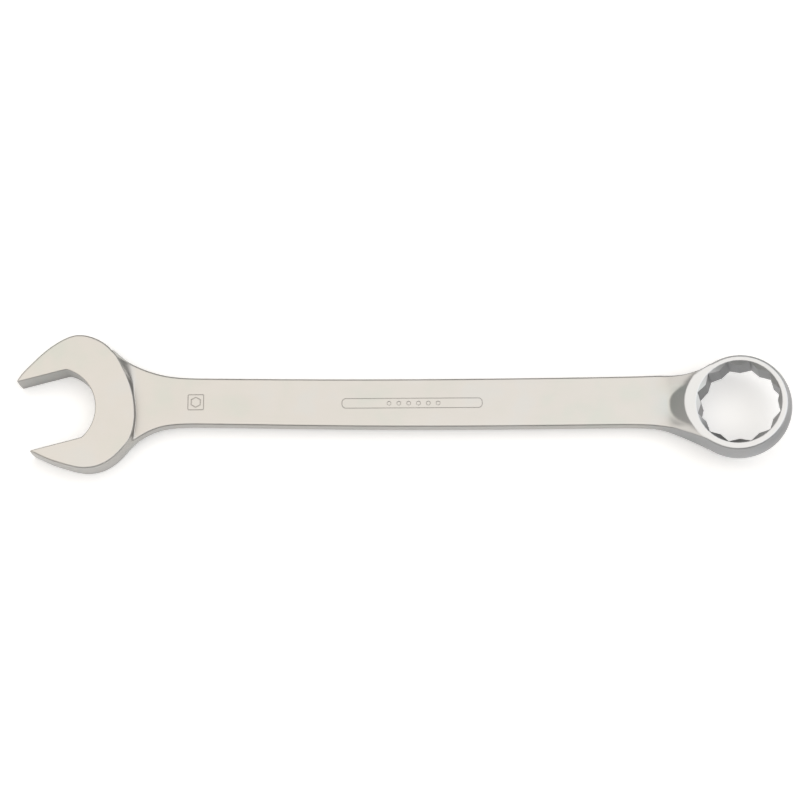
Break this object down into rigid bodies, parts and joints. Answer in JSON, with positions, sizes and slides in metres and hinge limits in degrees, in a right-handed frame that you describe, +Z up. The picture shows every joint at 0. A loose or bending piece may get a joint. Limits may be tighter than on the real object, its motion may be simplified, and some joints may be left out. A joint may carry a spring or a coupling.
{
  "type": "combination wrench",
  "caption": "Large combination wrench with a flat shank, an angled open end and a tilted ring end, satin chrome finish.",
  "frame": {"origin": "centre of the bounding box in plan, on the surface that the wrench lies on", "axes": "+X along the shank from the open end to the ring, +Z up, away from the surface that the wrench lies on"},
  "size_m": [0.8034, 0.1443, 0.0606],
  "materials": {
    "satin_chrome": "satin, fine brushed chrome plate over forged steel"
  },
  "bodies": {
    "root": {"open_end_head": "satin_chrome", "shank": "satin_chrome", "ring_head": "satin_chrome"}
  },
  "joints": []
}
